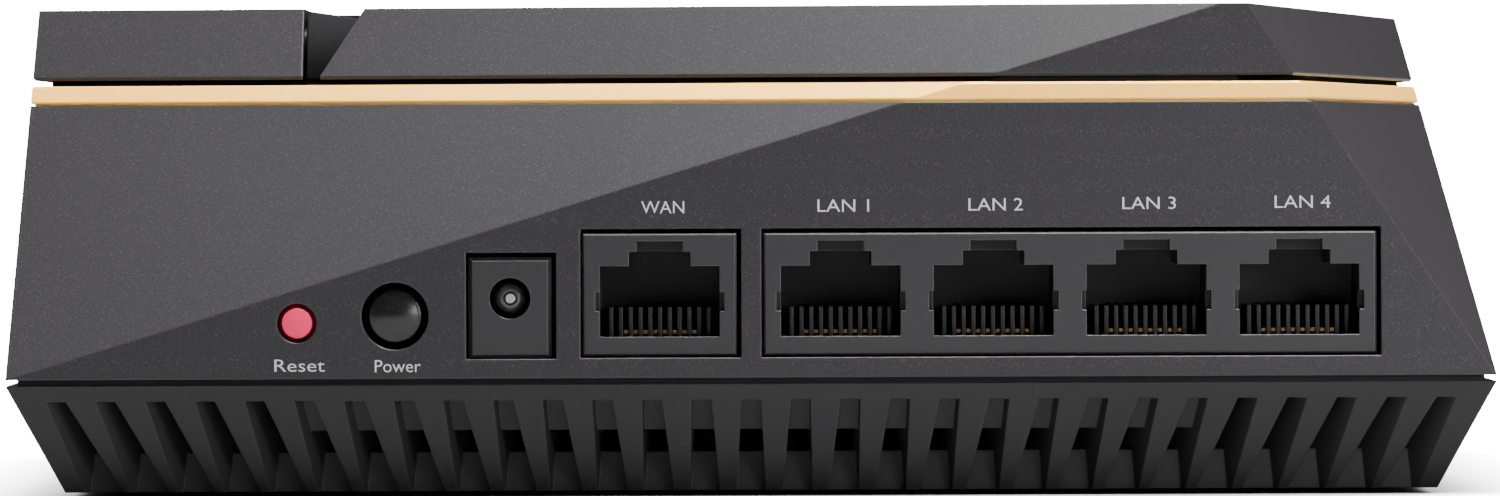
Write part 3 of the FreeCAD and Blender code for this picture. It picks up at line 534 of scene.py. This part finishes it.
def labelMesh(text, left, right, height, values):
    # flat text stretched to its width and cap height, stood upright and leant onto the socket side
    curve = bpy.data.curves.new("text", "FONT")
    curve.body = text
    curve.size = 1.0
    curve.offset = values["thinning"]
    curve.extrude = 0.5
    curve.resolution_u = values["curveSteps"]
    holder = bpy.data.objects.new("text", curve)
    bpy.context.scene.collection.objects.link(holder)
    bpy.context.view_layer.update()
    mesh = bpy.data.meshes.new_from_object(holder.evaluated_get(bpy.context.evaluated_depsgraph_get()))
    bpy.data.objects.remove(holder)
    bpy.data.curves.remove(curve)
    points = np.empty(len(mesh.vertices) * 3)
    mesh.vertices.foreach_get("co", points)
    low, high = points.reshape(-1, 3).min(0), points.reshape(-1, 3).max(0)
    capHeight = values["capHeight"] * mm
    stretch = Matrix.Diagonal(((right - left) * mm / (high[0] - low[0]), capHeight / (high[1] - low[1]),
                               values["thick"] * mm, 1.0))
    shift = Matrix.Translation((-low[0], -low[1], 0.0))
    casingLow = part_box("upper_casing")[0]
    foot = height * mm - capHeight / 2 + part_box("vented_base")[0].z
    front = casingLow.y + values["lean"] * (foot - casingLow.z) - values["lift"] * mm
    upright = Matrix.Rotation(math.pi / 2 - math.atan(values["lean"]), 4, "X")
    mesh.transform(Matrix.Translation((left * mm, front, foot)) @ upright @ stretch @ shift)
    return mesh


def makeLabels():
    joined = None
    for text, left, right, height in labelPlaces:
        mesh = labelMesh(text, left, right, height, labelSet)
        holder = bpy.data.objects.new("label", mesh)
        bpy.context.scene.collection.objects.link(holder)
        if joined is None:
            joined = holder
            continue
        with bpy.context.temp_override(active_object=joined, selected_editable_objects=[joined, holder]):
            bpy.ops.object.join()
    joined.name = "side_labels"
    joined.data.materials.clear()
    joined.data.materials.append(materials["label_ink"])
    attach(joined, "root")


makeLabels()
print("labels made")


# floor and light

def whiteForCamera(tree, shader, output, strength, paintedShadow=None):
    # the backdrop looks plain white, darkened by a painted contact shadow where one is given, and lights the object
    # only as much as its own shader does
    white = addNode(tree, "ShaderNodeEmission", (300, -300))
    if paintedShadow is None:
        white.inputs["Strength"].default_value = strength
    else:
        link(tree, mathNode(tree, "MULTIPLY", paintedShadow, strength, (100, -300)), white.inputs["Strength"])
    path = addNode(tree, "ShaderNodeLightPath", (300, 300))
    mixed = addNode(tree, "ShaderNodeMixShader", (600, 0))
    link(tree, path.outputs["Is Camera Ray"], mixed.inputs["Fac"])
    link(tree, shader, mixed.inputs[1])
    link(tree, white.outputs["Emission"], mixed.inputs[2])
    link(tree, mixed.outputs["Shader"], output.inputs["Surface"])


def makeFloor(values):
    mesh = bpy.data.meshes.new("floor")
    reach = values["reach"]
    corners = [(-reach, -reach, 0), (reach, -reach, 0), (reach, reach, 0), (-reach, reach, 0)]
    mesh.from_pydata(corners, [], [(0, 1, 2, 3)])
    floor = bpy.data.objects.new("floor", mesh)
    bpy.context.scene.collection.objects.link(floor)
    material, tree, shader, place = newMaterial("floor_paint")
    soft = addNode(tree, "ShaderNodeTexNoise", (-300, 0))
    soft.inputs["Scale"].default_value = 3.0
    link(tree, place, soft.inputs["Vector"])
    low, high = values["bounce"] * 0.95, values["bounce"] * 1.05
    link(tree, mixColour(tree, soft.outputs["Fac"], (low, low, low, 1), (high, high, high, 1), (0, 0)),
         shader.inputs["Base Color"])
    shader.inputs["Roughness"].default_value = 0.9
    shader.inputs["Specular IOR Level"].default_value = 0.0
    # painted contact shadow: the floor's white is darkened near the object by ambient occlusion
    near = addNode(tree, "ShaderNodeAmbientOcclusion", (-300, -300), samples=8)
    near.inputs["Distance"].default_value = values["shadowReach"]
    paintedContactShadow = mathNode(tree, "POWER", near.outputs["AO"], values["shadowDepth"], (-100, -300))
    whiteForCamera(tree, shader.outputs["BSDF"], tree.nodes["Material Output"], values["white"], paintedContactShadow)
    mesh.materials.append(material)


def areaLight(name, place, aim, size, power):
    data = bpy.data.lights.new(name, "AREA")
    data.shape = "RECTANGLE"
    data.size, data.size_y = size
    data.energy = power
    light = bpy.data.objects.new(name, data)
    bpy.context.scene.collection.objects.link(light)
    light.location = place
    light.rotation_mode = "QUATERNION"
    light.rotation_quaternion = (Vector(aim) - Vector(place)).to_track_quat("-Z", "Y")


def makeWorld(values):
    # soft light from all round, weaker from below, and a plain white backdrop behind the object
    world = bpy.data.worlds.new("studio")
    bpy.context.scene.world = world
    world.use_nodes = True
    tree = world.node_tree
    dim = tree.nodes["Background"]
    place = addNode(tree, "ShaderNodeTexCoord", (-600, 0))
    split = addNode(tree, "ShaderNodeSeparateXYZ", (-400, 0))
    link(tree, place.outputs["Generated"], split.inputs["Vector"])
    rise = addNode(tree, "ShaderNodeMapRange", (-200, 0))
    link(tree, split.outputs["Z"], rise.inputs["Value"])
    rise.inputs["From Min"].default_value = -0.2
    rise.inputs["From Max"].default_value = 0.9
    rise.inputs["To Min"].default_value = values["low"]
    rise.inputs["To Max"].default_value = values["high"]
    link(tree, rise.outputs["Result"], dim.inputs["Strength"])
    dim.inputs["Color"].default_value = values["tint"]
    whiteForCamera(tree, dim.outputs["Background"], tree.nodes["World Output"], values["white"])


stageSet = {
    "floor": {"reach": 8.0, "bounce": 0.48, "shadowReach": 0.02, "shadowDepth": 3.0, "white": 24.0},
    "world": {"low": 0.06, "high": 0.09, "tint": (1.0, 0.97, 1.0, 1.0), "white": 24.0},
}

lightSet = {
    # place and aim in metres, size in metres, power in watts
    "key": {"place": (0.12, -0.15, 0.60), "aim": (0.03, -0.06, 0.03), "size": (0.3, 0.25), "power": 20.5},
    "front": {"place": (0.24, -0.36, 0.09), "aim": (0.06, -0.07, 0.03), "size": (0.14, 0.10), "power": 1.35},
    "back": {"place": (-0.60, 1.00, 0.60), "aim": (0.0, 0.05, 0.03), "size": (0.9, 0.6), "power": 26.0},
    "left": {"place": (-1.20, 0.45, 0.65), "aim": (-0.05, 0.02, 0.03), "size": (0.6, 0.6), "power": 20.0},
    "right": {"place": (1.00, 0.10, 0.95), "aim": (0.05, 0.02, 0.03), "size": (0.6, 0.6), "power": 1.2},
}

makeFloor(stageSet["floor"])
makeWorld(stageSet["world"])
for name, values in lightSet.items():
    areaLight(name, values["place"], values["aim"], values["size"], values["power"])
print("floor and light made")
